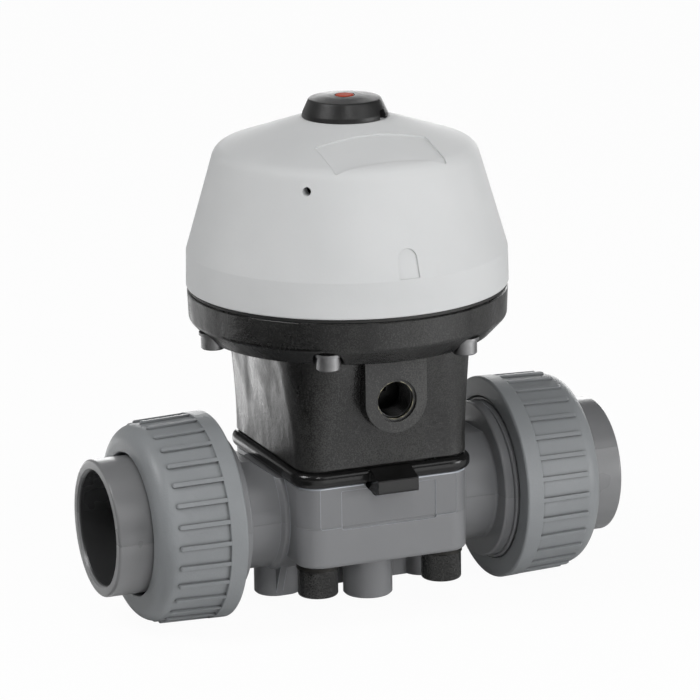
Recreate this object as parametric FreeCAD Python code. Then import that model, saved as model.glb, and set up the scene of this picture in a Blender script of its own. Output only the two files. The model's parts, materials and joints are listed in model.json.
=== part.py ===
# Diaphragm valve with two union ends and a round pneumatic actuator
# Lengths are in millimetres and angles in degrees.
# x runs along the pipe, y runs from front to back, z is up.
# Heights are measured from the pipe axis; each piece is lifted when it is written,
# so that the foot plane under the body ends at z = 0.
import FreeCAD, Part
import math
import os

V = FreeCAD.Vector

# Clearances
fit = 0.02                  # pieces that are pushed together, on the radius
sliding = 0.05              # a piece that slides in a bush
rod_play = 0.3              # round the indicator rod
joint_gap = 0.3             # between faces that a nut draws together

# Pipe line
axis_height = 31.8          # pipe axis above the foot plane
bore_r = 16.0               # flow passage, nominal size 32
socket_r = 20.15            # socket for a pipe of 40 mm outside diameter
socket_depth = 26.0
end_wall = 4.11             # wall of the union end round the socket
end_pipe_r = socket_r + end_wall
end_pipe_long = 23.0        # from the union end's flange to its mouth
collar_r = 28.2             # core of the male thread on the body, size G 2
union_thread_high = 1.3     # height of the union thread, which is left plain
face_x = 67.0               # sealing face at the end of the body
end_flange_r = collar_r - 0.6
end_flange_thick = 5.7
end_start_x = face_x + joint_gap
end_back_x = end_start_x + end_flange_thick
half_length = end_back_x + end_pipe_long
seal_r = 22.3
seal_section_r = 1.6
seal_groove_wide = 3.4
seal_groove_deep = 3.0

# Union nuts
nut_long = 31.0
nut_wall = 10.7             # end wall that bears on the union end's flange
nut_skin = 7.2              # from the thread to the rim
nut_hole_play = 1.04
nut_outer_x = end_back_x + joint_gap + nut_wall
nut_inner_x = nut_outer_x - nut_long
nut_thread_r = collar_r + union_thread_high
nut_mouth_r = nut_thread_r + 0.3
nut_hole_r = end_pipe_r + nut_hole_play
nut_rim_r = nut_thread_r + nut_skin
nut_rim_round = 0.9
nut_end_round = 6.2
nut_draft = 0.98            # the outside is this much smaller at its outer end
rib_count = 30
rib_wide = 1.5
rib_high = 0.95
rib_start_x = nut_inner_x + 6.3
rib_end_x = nut_outer_x - nut_end_round

# Body
block_x = 64.0
block_y = 71.5
block_corner = 8.5
block_top = 14.8
block_bottom = -14.5
neck_wall = 5.1
neck_r = bore_r + neck_wall
neck_flare = 1.4            # rounded step where a neck leaves the block
collar_x = 48.0
neck_flat_z = 19.6          # the necks are flattened on top to clear the actuator
passage_low = 13.2          # how far the passage reaches below the axis beside the weir
passage_blend_x = 26.0      # the passage widens from here to the round bore
passage_round_x = 45.0
weir_top = 1.5
weir_foot_x = 13.0
weir_crest_x = 3.0
seat_r = 24.0               # edge of the bowl that the diaphragm closes on
panel_half = 25.8
field_half = 17.8
field_low_z = -0.9
field_high_z = 13.0
mark_depth = 0.4
field_depth = 0.25
notch_left = -9.5
notch_slope = 4.3
notch_right = 11.0
notch_deep = 5.0            # down from the top of the block
notch_in = 5.0              # in from the front of the block

# Feet under the body
foot_z = -axis_height
foot_y = 14.9
foot_x = 28.5
foot_big_r = 8.8
foot_small_r = 7.15
foot_stretch = 1.43         # the small feet are drawn out along the pipe by this each way
foot_edge = 0.55            # chamfer round the bottom
foot_start_z = block_bottom + 4.5
web_thick = 4.4
gusset_x = 30.6
gusset_thick = 2.6
gusset_low_half = 6.3
gusset_high_half = 13.5
gusset_high_z = block_bottom - 1.2
insert_r = 4.4
insert_thread_r = 3.0
insert_long = 10.0

# Shut-off diaphragm
bead_over_x = 3.4           # the bead stands out past the block by this in all
bead_over_y = 2.1
bead_x = block_x + bead_over_x
bead_y = block_y + bead_over_y
bead_corner = block_corner + 1.1
bead_thick = 5.5
bead_round = 2.3
bead_top = block_top + bead_thick
membrane = 3.0
tab_half = 7.6
tab_out = 7.4               # the tab stands out past the bead by this
tab_front_y = -bead_y / 2.0 - tab_out
tab_low_z = block_top - 2.3
tab_high_z = bead_top - 2.7
knob_r = 5.0
knob_high = 3.5

# Body bolts, size M 8
bolt_x = 23.6
bolt_y = 26.2
bolt_r = 4.0
bolt_head_r = 6.5
bolt_head_high = 8.0
bolt_key = 6.0
bolt_key_depth = 4.0
bolt_hole_r = bolt_r + 0.5
bolt_reach = 12.7           # how far the bolts enter the actuator base
bolt_top = bead_top + bolt_reach
base_insert_r = 5.6
base_insert_top = bolt_top + 2.0
washer_r = 7.5
washer_thick = 1.6
bolt_head_top = block_bottom - washer_thick
bolt_head_low = bolt_head_top - bolt_head_high
cap_wall = 0.6
cap_r = bolt_head_r + 0.03 + cap_wall
cap_floor = 1.5
cap_bottom = bolt_head_low - 0.5 - cap_floor

# Compressor that presses the shut-off diaphragm down
stroke = 10.0
compressor_r = 22.4
compressor_top = bead_top + 9.7
compressor_boss_r = 9.5
compressor_boss_top = compressor_top + 2.0
compressor_rib = 3.2
pin_r = 2.0
pin_half = compressor_boss_r - 0.1
pin_z = compressor_top - 2.0
spindle_low_z = pin_z - 5.8

# Actuator base
bell_r = 25.5
bell_top = compressor_boss_top + stroke + 1.0
guide_high = 34.5           # from the top of the bell to the top of the flange
flange_top = bell_top + guide_high
base_lip = 0.9              # bevel that leaves a groove over the bead
base_flare_x = 7.6          # the base widens by this much in all
base_flare_y = 6.9
base_top_corner = 18.0
flange_r = 56.6
flange_thick = 10.0
flange_edge_z = flange_top - flange_thick
flange_under_r = flange_r - 6.1
flange_under_z = flange_edge_z - 6.0
chamber_depth = 13.0
chamber_floor = flange_top - chamber_depth
rim_wide = 10.6             # clamped rim of the actuator diaphragm
clamp_r = flange_r - rim_wide
port_z = flange_under_z - 15.9
port_half = 11.5
port_out = 7.35             # the pad's face stands out past the block by this
port_face_y = -block_y / 2.0 - port_out
port_depth = 14.0
port_thread_r = 6.58        # thread G 1/4, left plain
port_mouth_r = port_thread_r + 1.02
port_mouth_deep = 0.8
air_way_r = 2.5

# Spindle with its bush and seals
spindle_r = 6.0
spindle_top_r = 5.0
bush_r = spindle_r + 1.5
bush_above_bell = 6.0
bush_below_chamber = 4.5
bush_low = bell_top + bush_above_bell
bush_high = chamber_floor - bush_below_chamber
shaft_seal_r = 1.1
shaft_groove_deep = 2.3
shaft_groove_r = spindle_r + shaft_groove_deep
low_seal_above_bell = 3.2
high_seal_below_chamber = 2.1
seal_heights = [bell_top + low_seal_above_bell, chamber_floor - high_seal_below_chamber]

# Plates, actuator diaphragm and springs
plate_seat_z = chamber_floor + 1.0
lower_plate_thick = 3.0
sheet = 2.0                 # actuator diaphragm between the plates
upper_plate_thick = 3.5
plate_r = clamp_r - 8.5
plate_rim_high = 7.0
sheet_z = plate_seat_z + lower_plate_thick
upper_plate_z = sheet_z + sheet
spring_foot_z = upper_plate_z + upper_plate_thick
spindle_nut_across = 17.0
spindle_nut_high = 6.5
spindle_top_z = spring_foot_z + 9.0
outer_coil_r = 27.0
outer_wire_r = 2.0
outer_turns = 5.0
inner_coil_r = 17.0
inner_wire_r = 1.5
inner_turns = 6.0
wire_sides = 8              # the spring wire is drawn with eight flats

# Cover
clamp_thick = 1.3           # rim of the actuator diaphragm between base and cover
cover_bottom = flange_top + clamp_thick
cover_r = flange_r + 0.27
band_high = 12.7
band_top = cover_bottom + band_high
band_r = flange_r
cover_high = 59.2
crown_z = cover_bottom + cover_high
shoulder_z = crown_z - 10.2
shoulder_r = band_r - 10.6
shoulder_round = 6.0
knob_top_r = 15.2           # the indicator cap's flat head
crown_r = knob_top_r + 0.4
label_half = 20.7
label_near = -41.0
label_far = -22.6
label_depth = 0.45
arch_half = 3.4
arch_top = band_top + 10.3
vent_angle = -128.5
vent_z = shoulder_z - 6.5
vent_r = 1.5
spring_seat_z = crown_z - 9.5
spring_boss_r = 13.0
spring_boss_high = 6.0

# Indicator rod and cap
rod_r = 3.3
rod_stub_r = 2.5
rod_stub_low = spindle_top_z - 7.6
cap_thread_r = 11.0
cap_plug_long = 8.0         # the plug reaches into the cover by this
cap_head_high = 6.47        # the head stands on the cover by this
cap_dome_high = 1.0         # the head rises by this to its middle
cap_nick_wide = 4.4
cap_nick_angle = -50.0
cap_seal_deep = 4.1         # from the crown down to the seal
cap_low_z = crown_z - cap_plug_long
cap_top_z = crown_z + cap_head_high
cap_seal_z = crown_z - cap_seal_deep
cap_seal_r = 0.68
rod_top = cap_top_z + cap_dome_high + 0.2

# Cover screws, size M 5
screw_count = 6
screw_r = 2.5
screw_circle_r = clamp_r + 5.0
screw_head_r = 4.25
screw_head_high = 5.0
screw_key = 4.0
screw_key_depth = 2.5
screw_hole_r = screw_r + 0.3
screw_seat_z = flange_edge_z - 1.5
screw_washer_r = 4.9
screw_washer = 1.0
screw_reach = 8.7           # how far the screws enter the cover
screw_top = cover_bottom + screw_reach
cover_insert_r = 3.6
cover_insert_top = screw_top + 1.1


# Drawing helpers
def corner(before, here, after, radius):
    a = V(before[0] - here[0], before[1] - here[1], 0)
    b = V(after[0] - here[0], after[1] - here[1], 0)
    a.normalize()
    b.normalize()
    half = math.acos(max(-1.0, min(1.0, a.dot(b)))) / 2.0
    run = radius / math.tan(half)
    middle = a + b
    middle.normalize()
    centre = V(here[0], here[1], 0) + middle * (radius / math.sin(half))
    start = V(here[0], here[1], 0) + a * run
    end = V(here[0], here[1], 0) + b * run
    top = centre - middle * radius
    return start, top, end


def outline(points, place):
    # A third number on a point rounds that corner
    edges = []
    count = len(points)
    stops = []
    for i in range(count):
        here = points[i]
        if len(here) == 3 and here[2] > 0:
            stops.append(corner(points[i - 1], here, points[(i + 1) % count], here[2]))
        else:
            spot = V(here[0], here[1], 0)
            stops.append((spot, None, spot))
    for i in range(count):
        start, top, end = stops[i]
        if top is not None:
            edges.append(Part.Arc(place(start), place(top), place(end)).toShape())
        following = stops[(i + 1) % count][0]
        if end.distanceToPoint(following) > 1e-6:
            edges.append(Part.LineSegment(place(end), place(following)).toShape())
    return Part.Wire(edges)


def upright(p):
    return V(p.x, 0, p.y)


def turned(points):
    # The points are radius and height
    face = Part.Face(outline(points, upright))
    return face.revolve(V(0, 0, 0), V(0, 0, 1), 360)


def turned_x(points):
    # The points are place along the pipe and radius
    face = Part.Face(outline(points, upright))
    return face.revolve(V(0, 0, 0), V(1, 0, 0), 360)


def front_prism(points, y0, y1):
    # The points are x and z
    face = Part.Face(outline(points, lambda p: V(p.x, y0, p.y)))
    return face.extrude(V(0, y1 - y0, 0))


def side_prism(points, x0, x1):
    # The points are y and z
    face = Part.Face(outline(points, lambda p: V(x0, p.x, p.y)))
    return face.extrude(V(x1 - x0, 0, 0))


def rectangle(long_x, long_y, radius, z):
    a = long_x / 2.0
    b = long_y / 2.0
    points = [(a, b, radius), (-a, b, radius), (-a, -b, radius), (a, -b, radius)]
    return outline(points, lambda p: V(p.x, p.y, z))


def slab(long_x, long_y, radius, z0, z1):
    return Part.Face(rectangle(long_x, long_y, radius, z0)).extrude(V(0, 0, z1 - z0))


def rod(radius, z0, z1, x=0.0, y=0.0):
    return Part.makeCylinder(radius, z1 - z0, V(x, y, z0))


def rod_x(radius, x0, x1):
    return Part.makeCylinder(radius, x1 - x0, V(x0, 0, 0), V(1, 0, 0))


def tube(outer, inner, z0, z1, x=0.0, y=0.0):
    return rod(outer, z0, z1, x, y).cut(rod(inner, z0 - 1, z1 + 1, x, y))


def hexagon(across, z0, z1, x, y):
    r = across / math.sqrt(3)
    angles = [math.radians(60 * i) for i in range(6)]
    points = [(x + r * math.cos(a), y + r * math.sin(a)) for a in angles]
    return Part.Face(outline(points, lambda p: V(p.x, p.y, z0))).extrude(V(0, 0, z1 - z0))


def ring(mean_r, section_r, z):
    return Part.makeTorus(mean_r, section_r, V(0, 0, z))


def box(x0, x1, y0, y1, z0, z1):
    return Part.makeBox(x1 - x0, y1 - y0, z1 - z0, V(x0, y0, z0))


def fused(shapes):
    return shapes[0].multiFuse(shapes[1:]).removeSplitter()


def mirrored(shape):
    return shape.mirror(V(0, 0, 0), V(1, 0, 0))


def level_edges(shape, z):
    near = 1e-4
    return [e for e in shape.Edges if abs(e.BoundBox.ZMin - z) < near and abs(e.BoundBox.ZMax - z) < near]


def spots(x, y):
    return [(x, y), (-x, y), (-x, -y), (x, -y)]


def screw_spots():
    step = 360.0 / screw_count
    angles = [math.radians(step * i) for i in range(screw_count)]
    return [(screw_circle_r * math.cos(a), screw_circle_r * math.sin(a)) for a in angles]


def foot_spots():
    return [(0, foot_y), (0, -foot_y), (foot_x, 0), (-foot_x, 0)]


# The bowl in the body and the diaphragm that lies in it share one ball
seat_depth = block_top - weir_top
ball_r = (seat_r ** 2 + seat_depth ** 2) / (2.0 * seat_depth)
ball_z = weir_top + ball_r


def ball(radius):
    return Part.makeSphere(radius, V(0, 0, ball_z))


# Valve body
def body_pipe():
    flare_x = block_x / 2.0 + 1.6
    half = [
        (flare_x, neck_r + neck_flare, 1.2),
        (flare_x + neck_flare, neck_r),
        (collar_x, neck_r, 1.0),
        (collar_x, collar_r, 0.8),
        (face_x, collar_r, 1.2),
        (face_x, 0),
    ]
    points = [(-p[0],) + p[1:] for p in reversed(half)] + half
    pipe = turned_x(points)
    x1 = block_x / 2.0 + 2.5
    x2 = x1 + 6.5
    x3 = collar_x - 0.05
    far = collar_r + 10
    top = [(-x1, block_top), (-x2, neck_flat_z), (-x3, neck_flat_z), (-x3, far),
           (x3, far), (x3, neck_flat_z), (x2, neck_flat_z), (x1, block_top)]
    return pipe.cut(front_prism(top, -far, far))


def body_block():
    block = slab(block_x, block_y, block_corner, block_bottom, block_top)
    block = block.makeFillet(1.6, level_edges(block, block_bottom))
    return block.makeChamfer(0.5, level_edges(block, block_top))


def body_feet():
    pieces = []
    long = 2 * (foot_small_r + foot_stretch)
    wide = 2 * foot_small_r
    for x, y in foot_spots():
        if x == 0:
            foot = rod(foot_big_r, foot_z, foot_start_z, x, y)
        else:
            foot = slab(long, wide, foot_small_r - 0.001, foot_z, foot_start_z)
            foot.translate(V(x, 0, 0))
        pieces.append(foot.makeChamfer(foot_edge, level_edges(foot, foot_z)))
    t = web_thick / 2.0
    pieces.append(box(-foot_x, foot_x, -t, t, foot_z + 0.1, foot_start_z))
    pieces.append(box(-t, t, -foot_y, foot_y, foot_z + 0.1, foot_start_z))
    low = gusset_low_half
    high = gusset_high_half
    gusset = [(-low, foot_z), (-high, gusset_high_z), (-high, foot_start_z),
              (high, foot_start_z), (high, gusset_high_z), (low, foot_z)]
    half = gusset_thick / 2.0
    for x in (-gusset_x, gusset_x):
        pieces.append(side_prism(gusset, x - half, x + half))
    return pieces


def oval(x, half_y, half_z, z_mid):
    if abs(half_y - half_z) < 1e-6:
        edge = Part.Circle(V(0, 0, 0), V(0, 0, 1), half_y).toShape()
    else:
        edge = Part.Ellipse(V(0, 0, 0), half_y, half_z).toShape()
    wire = Part.Wire([edge])
    wire.rotate(V(0, 0, 0), V(1, 1, 1), 120)
    wire.translate(V(x, 0, z_mid))
    return wire


def flow_passage():
    middle = passage_low - bore_r
    far = bore_r + 4
    narrow = oval(passage_blend_x, bore_r, passage_low, middle)
    entry = Part.makeLoft([narrow, oval(passage_round_x, bore_r, bore_r, 0)], True)
    run_out = rod_x(bore_r, passage_round_x, face_x + 1)
    inside = Part.Face(oval(0, bore_r, passage_low, middle)).extrude(V(passage_blend_x, 0, 0))
    weir = [(-1, -far), (weir_foot_x, -far), (weir_crest_x + 1.6, 0),
            (weir_crest_x, weir_top + 0.5), (weir_crest_x, far), (-1, far)]
    inside = inside.cut(front_prism(weir, -far, far))
    one_side = fused([entry, run_out, inside])
    bowl = ball(ball_r).common(box(-40, 40, -40, 40, -40, block_top + 1))
    return [one_side, mirrored(one_side), bowl]


def seal_groove():
    low = seal_r - seal_groove_wide / 2.0
    high = seal_r + seal_groove_wide / 2.0
    back = face_x - seal_groove_deep
    groove = turned_x([(back, low), (back, high), (face_x + 1, high), (face_x + 1, low)])
    return [groove, mirrored(groove)]


def body_marks():
    front = -block_y / 2.0
    cuts = []
    for s in (1, -1):
        y0 = s * (front + mark_depth)
        over = block_top + 5
        panel = [(-panel_half, 0, 0.8), (panel_half, 0, 0.8), (panel_half, over), (-panel_half, over)]
        cuts.append(front_prism(panel, s * (front - 1), y0))
    field = [(-field_half, field_low_z, 0.6), (field_half, field_low_z, 0.6),
             (field_half, field_high_z, 0.6), (-field_half, field_high_z, 0.6)]
    cuts.append(front_prism(field, front - 1, front + mark_depth + field_depth))
    floor = block_top - notch_deep
    notch = [(notch_left, block_top), (notch_left + notch_slope, floor), (notch_right, floor),
             (notch_right, over), (notch_left, over)]
    cuts.append(front_prism(notch, front - 1, front + notch_in))
    return cuts


def valve_body():
    body = fused([body_block(), body_pipe()] + body_feet())
    cuts = flow_passage() + seal_groove() + body_marks()
    for x, y in spots(bolt_x, bolt_y):
        cuts.append(rod(bolt_hole_r, block_bottom - 1, block_top + 1, x, y))
    for x, y in foot_spots():
        cuts.append(rod(insert_r, foot_z - 1, foot_z + insert_long + 0.5, x, y))
    return body.cut(cuts).removeSplitter()


def foot_inserts():
    pieces = []
    for x, y in foot_spots():
        pieces.append(tube(insert_r - fit, insert_thread_r, foot_z, foot_z + insert_long, x, y))
    return Part.makeCompound(pieces)


# Shut-off diaphragm
def shutoff_diaphragm():
    plate = slab(bead_x, bead_y, bead_corner, block_top, bead_top)
    round_edges = level_edges(plate, block_top) + level_edges(plate, bead_top)
    plate = plate.makeFillet(bead_round, round_edges)
    dish = ball(ball_r - sliding).common(rod(seat_r - sliding, weir_top - 5, bead_top - 0.5))
    front = -bead_y / 2.0
    tab = [(front + 4, bead_top), (front, bead_top), (tab_front_y, tab_high_z, 0.6),
           (tab_front_y, tab_low_z, 0.8), (front + 4, tab_low_z)]
    low_tab = side_prism(tab, -tab_half, tab_half)
    shape = fused([plate, dish, low_tab])
    shape = shape.cut(ball(ball_r - sliding - membrane).common(box(-40, 40, -40, 40, -40, bead_top + 1)))
    holes = [rod(bolt_r + 0.3, block_top - 5, bead_top + 5, x, y) for x, y in spots(bolt_x, bolt_y)]
    shape = shape.cut(holes)
    knob = rod(knob_r, weir_top + membrane - 0.3, weir_top + membrane + knob_high)
    return fused([shape, knob])


def compressor():
    shape = ball(ball_r - membrane - joint_gap).common(rod(compressor_r, weir_top, compressor_top))
    pocket = tube(compressor_r - 3.4, compressor_boss_r + 1.0, compressor_top - 14.0, compressor_top + 1)
    for a in (45, 135):
        bar = box(-compressor_r, compressor_r, -compressor_rib / 2.0, compressor_rib / 2.0, 0, compressor_top)
        bar.rotate(V(0, 0, 0), V(0, 0, 1), a)
        pocket = pocket.cut(bar)
    boss = rod(compressor_boss_r, compressor_top - 10, compressor_boss_top)
    shape = fused([shape.cut(pocket), boss])
    knob_hole = rod(knob_r + joint_gap, weir_top, weir_top + membrane + knob_high + 0.5)
    spindle_hole = rod(spindle_r + fit, spindle_low_z - 0.2, compressor_boss_top + 1)
    return shape.cut([knob_hole, spindle_hole, pin_shape(pin_r + fit, compressor_r)])


def pin_shape(radius, half):
    return Part.makeCylinder(radius, 2 * half, V(-half, 0, pin_z), V(1, 0, 0))


def compressor_pin():
    return pin_shape(pin_r, pin_half)


# Actuator base
def housing_outer():
    inset_x = block_x - 2 * base_lip
    inset_y = block_y - 2 * base_lip
    rim = rectangle(inset_x, inset_y, block_corner - base_lip, bead_top)
    bottom = rectangle(block_x, block_y, block_corner, bead_top + base_lip)
    low = rectangle(block_x + 0.2, block_y + 0.2, block_corner + 0.4, bead_top + 8)
    long_x = block_x + 0.42 * base_flare_x
    long_y = block_y + 0.43 * base_flare_y
    middle = rectangle(long_x, long_y, block_corner + 4.0, bell_top + 1)
    long_x = block_x + base_flare_x
    long_y = block_y + base_flare_y
    top = rectangle(long_x, long_y, base_top_corner, flange_under_z - 1)
    return fused([Part.makeLoft([rim, bottom], True, True), Part.makeLoft([bottom, low, middle, top], True)])


def flange_outer():
    points = [
        (0, flange_under_z - 1), (flange_under_r - 10.5, flange_under_z - 2.5, 3),
        (flange_under_r - 4.5, flange_under_z - 0.8, 3),
        (flange_under_r, flange_under_z, 1.5), (flange_r - 0.4, flange_edge_z, 2.0),
        (flange_r, flange_top, 0.5), (0, flange_top),
    ]
    return turned(points)


def port_pad():
    top = flange_under_z + 1
    left = V(-port_half, port_face_y, port_z)
    right = V(port_half, port_face_y, port_z)
    low = V(0, port_face_y, port_z - port_half)
    edges = [
        Part.Arc(left, low, right).toShape(),
        Part.LineSegment(right, V(port_half, port_face_y, top)).toShape(),
        Part.LineSegment(V(port_half, port_face_y, top), V(-port_half, port_face_y, top)).toShape(),
        Part.LineSegment(V(-port_half, port_face_y, top), left).toShape(),
    ]
    return Part.Face(Part.Wire(edges)).extrude(V(0, 20, 0))


def port_hole():
    back = V(0, 1, 0)
    start = V(0, port_face_y, port_z)
    thread = Part.makeCylinder(port_thread_r, port_depth, start, back)
    mouth = Part.makeCylinder(port_mouth_r, port_mouth_deep, start, back)
    rise = rod(air_way_r, port_z, chamber_floor + 3, 0, port_face_y + port_depth - 1.5)
    return [thread, mouth, rise]


def base_hollows():
    bell = turned([(0, bead_top - 1), (bell_r, bead_top - 1), (bell_r, bell_top - 3, 2),
                   (bell_r - 3, bell_top, 2), (0, bell_top)])
    guide = rod(spindle_r + 0.12, bell_top - 1, chamber_floor + 1)
    bush = rod(bush_r, bush_low, bush_high)
    half = shaft_seal_r + 0.15
    seals = [rod(shaft_groove_r, z - half, z + half) for z in seal_heights]
    chamber = turned([(0, chamber_floor), (clamp_r - 12, chamber_floor, 3),
                      (clamp_r - 2, chamber_floor + 5, 4), (clamp_r, flange_top + 1), (0, flange_top + 1)])
    return [bell, guide, bush, chamber] + seals


def actuator_base():
    body = fused([housing_outer(), flange_outer(), port_pad()])
    cuts = base_hollows() + port_hole()
    for x, y in spots(bolt_x, bolt_y):
        cuts.append(rod(base_insert_r, bead_top - 1, base_insert_top + 0.5, x, y))
    for x, y in screw_spots():
        cuts.append(rod(screw_hole_r, screw_seat_z - 1, flange_top + 1, x, y))
        cuts.append(rod(screw_washer_r + 0.5, screw_seat_z - 15, screw_seat_z, x, y))
    return body.cut(cuts).removeSplitter()


def base_inserts():
    pieces = []
    for x, y in spots(bolt_x, bolt_y):
        pieces.append(tube(base_insert_r - fit, bolt_r + fit, bead_top + 0.2, base_insert_top, x, y))
    return Part.makeCompound(pieces)


def guide_bush():
    return tube(bush_r - fit, spindle_r + sliding, bush_low + 0.1, bush_high - 0.1)


def spindle_seals():
    mean_r = spindle_r + sliding + shaft_seal_r + 0.03
    return Part.makeCompound([ring(mean_r, shaft_seal_r, z) for z in seal_heights])


# Cover
def cover_points(inset):
    return [
        (0, cover_bottom), (cover_r - inset, cover_bottom, 0.7), (band_r - inset, band_top, 1.0),
        (shoulder_r - inset, shoulder_z - inset, shoulder_round - inset),
        (crown_r - inset, crown_z - inset, 0.4), (0, crown_z - inset),
    ]


def cover_hollow():
    points = [
        (0, cover_bottom - 1), (clamp_r, cover_bottom - 1), (clamp_r, cover_bottom + 9, 3),
        (shoulder_r - 3.0, shoulder_z - 8, 4), (shoulder_r - 6.0, spring_seat_z - 3.6, 2),
        (shoulder_r - 14.5, spring_seat_z), (spring_boss_r, spring_seat_z, 0.6),
        (spring_boss_r - 1.0, spring_seat_z - spring_boss_high, 0.8), (0, spring_seat_z - spring_boss_high),
    ]
    return turned(points)


def cover_marks():
    inside = turned(cover_points(label_depth))
    label = slab(2 * label_half, label_far - label_near, 0.8, band_top, crown_z)
    label.translate(V(0, (label_far + label_near) / 2.0, 0))
    y = -band_r - 3
    left = V(-arch_half, y, arch_top - arch_half)
    right = V(arch_half, y, arch_top - arch_half)
    low_left = V(-arch_half - 0.3, y, band_top + 0.4)
    low_right = V(arch_half + 0.3, y, band_top + 0.4)
    edges = [
        Part.Arc(left, V(0, y, arch_top), right).toShape(),
        Part.LineSegment(right, low_right).toShape(),
        Part.LineSegment(low_right, low_left).toShape(),
        Part.LineSegment(low_left, left).toShape(),
    ]
    arch = Part.Face(Part.Wire(edges)).extrude(V(0, 20, 0))
    return [label.cut(inside), arch.cut(inside)]


def actuator_cover():
    shape = turned(cover_points(0)).cut(cover_hollow())
    a = math.radians(vent_angle)
    out = V(math.cos(a), math.sin(a), 0)
    vent = Part.makeCylinder(vent_r, band_r, V(0, 0, vent_z) + out * (shoulder_r - 14.5), out)
    cuts = cover_marks() + [vent]
    cuts.append(rod(cap_thread_r + sliding, cap_low_z - 0.5, crown_z + 1))
    cuts.append(rod(rod_r + rod_play, spring_seat_z - spring_boss_high - 1, crown_z + 1))
    for x, y in screw_spots():
        cuts.append(rod(cover_insert_r, cover_bottom - 1, cover_insert_top + 0.6, x, y))
    return shape.cut(cuts).removeSplitter()


def cover_inserts():
    pieces = []
    for x, y in screw_spots():
        pieces.append(tube(cover_insert_r - fit, screw_r + fit, cover_bottom + 0.3, cover_insert_top, x, y))
    return Part.makeCompound(pieces)


def actuator_diaphragm():
    z = sheet_z
    points = [
        (flange_r - 0.4, flange_top, 0.3), (flange_r - 0.4, cover_bottom, 0.3),
        (clamp_r - 1.2, cover_bottom, 1.5),
        (plate_r + 0.6, z + sheet, 1.5), (spindle_top_r + fit, z + sheet), (spindle_top_r + fit, z),
        (plate_r + 1.6, z, 2.5), (clamp_r - 0.9, flange_top, 1.0),
    ]
    shape = turned(points)
    return shape.cut([rod(screw_hole_r, flange_top - 1, cover_bottom + 1, x, y) for x, y in screw_spots()])


# Indicator cap on top of the cover
def indicator_cap():
    hole_r = rod_r + rod_play
    points = [
        (hole_r, cap_low_z), (cap_thread_r, cap_low_z, 0.5), (cap_thread_r, crown_z),
        (knob_top_r, crown_z, 0.3), (knob_top_r - 0.3, crown_z + 1.6, 0.8),
        (knob_top_r - 2.5, cap_top_z, 0.9), (hole_r + 2.8, cap_top_z + 0.8 * cap_dome_high, 5),
        (hole_r, cap_top_z + cap_dome_high),
    ]
    shape = turned(points)
    groove_low = cap_seal_z - cap_seal_r - 0.2
    groove_high = cap_seal_z + cap_seal_r + 0.2
    cuts = [tube(cap_thread_r + 1, cap_thread_r - 1.4, groove_low, groove_high)]
    half = cap_nick_wide / 2.0
    for a in (cap_nick_angle, cap_nick_angle + 180):
        nick = box(knob_top_r - 2.5, knob_top_r + 3, -half, half, crown_z - 1, crown_z + 3.2)
        nick.rotate(V(0, 0, 0), V(0, 0, 1), a)
        cuts.append(nick)
    return shape.cut(cuts)


def cap_seal():
    return ring(cap_thread_r - cap_seal_r - fit, cap_seal_r, cap_seal_z)


def indicator_rod():
    points = [
        (0, rod_stub_low), (rod_stub_r, rod_stub_low), (rod_stub_r, spindle_top_z + sliding),
        (rod_r, spindle_top_z + sliding, 0.3),
        (rod_r, rod_top, 0.5), (0, rod_top),
    ]
    return turned(points)


# Spindle and plates
def spindle():
    low = rod_stub_low - 0.4
    points = [
        (0, spindle_low_z), (spindle_r, spindle_low_z, 0.6), (spindle_r, plate_seat_z),
        (spindle_top_r, plate_seat_z), (spindle_top_r, spindle_top_z, 0.6),
        (rod_stub_r + fit, spindle_top_z), (rod_stub_r + fit, low), (0, low),
    ]
    return turned(points).cut(pin_shape(pin_r + fit, compressor_r))


def plate_low():
    z = plate_seat_z
    points = [
        (spindle_top_r + fit, z), (plate_r - 3, z, 1.5), (plate_r, z + 1.6, 0.8),
        (plate_r, z + lower_plate_thick), (spindle_top_r + fit, z + lower_plate_thick),
    ]
    return turned(points)


def plate_high():
    z = upper_plate_z
    rim = z + plate_rim_high
    points = [
        (spindle_top_r + fit, z), (plate_r - 2, z, 1.0), (plate_r - 2, rim, 0.8), (plate_r - 4.5, rim, 0.8),
        (plate_r - 4.5, spring_foot_z, 1.5), (spindle_top_r + fit, spring_foot_z),
    ]
    shape = turned(points)
    holes = []
    for i in range(8):
        a = math.radians(45 * i + 22.5)
        r = (outer_coil_r + inner_coil_r) / 2.0
        holes.append(rod(2.2, z + 2.0, z + 9, r * math.cos(a), r * math.sin(a)))
    return shape.cut(holes)


def spindle_nut():
    z = spring_foot_z
    nut = hexagon(spindle_nut_across, z, z + spindle_nut_high, 0, 0)
    return nut.cut(rod(spindle_top_r + fit, z - 1, z + spindle_nut_high + 1))


def coil(mean_r, wire_r, z0, z1, turns):
    long = z1 - z0 - 2 * wire_r
    path = Part.makeHelix(long / turns, long, mean_r)
    path.translate(V(0, 0, z0 + wire_r))
    corners = []
    for i in range(wire_sides + 1):
        a = 2 * math.pi * (i + 0.5) / wire_sides
        corners.append(V(mean_r + wire_r * math.cos(a), 0, z0 + wire_r + wire_r * math.sin(a)))
    section = Part.makePolygon(corners)
    return Part.Wire(path.Edges).makePipeShell([section], True, True)


def outer_spring():
    return coil(outer_coil_r, outer_wire_r, spring_foot_z, spring_seat_z, outer_turns)


def inner_spring():
    return coil(inner_coil_r, inner_wire_r, spring_foot_z, spring_seat_z, inner_turns)


# Bolts, screws, washers and caps
def body_bolts():
    pieces = []
    low = bolt_head_low
    top = bolt_head_top
    for x, y in spots(bolt_x, bolt_y):
        bolt = fused([rod(bolt_head_r, low, top, x, y), rod(bolt_r, top - 1, bolt_top, x, y)])
        pieces.append(bolt.cut(hexagon(bolt_key, low - 1, low + bolt_key_depth, x, y)))
    return Part.makeCompound(pieces)


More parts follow.
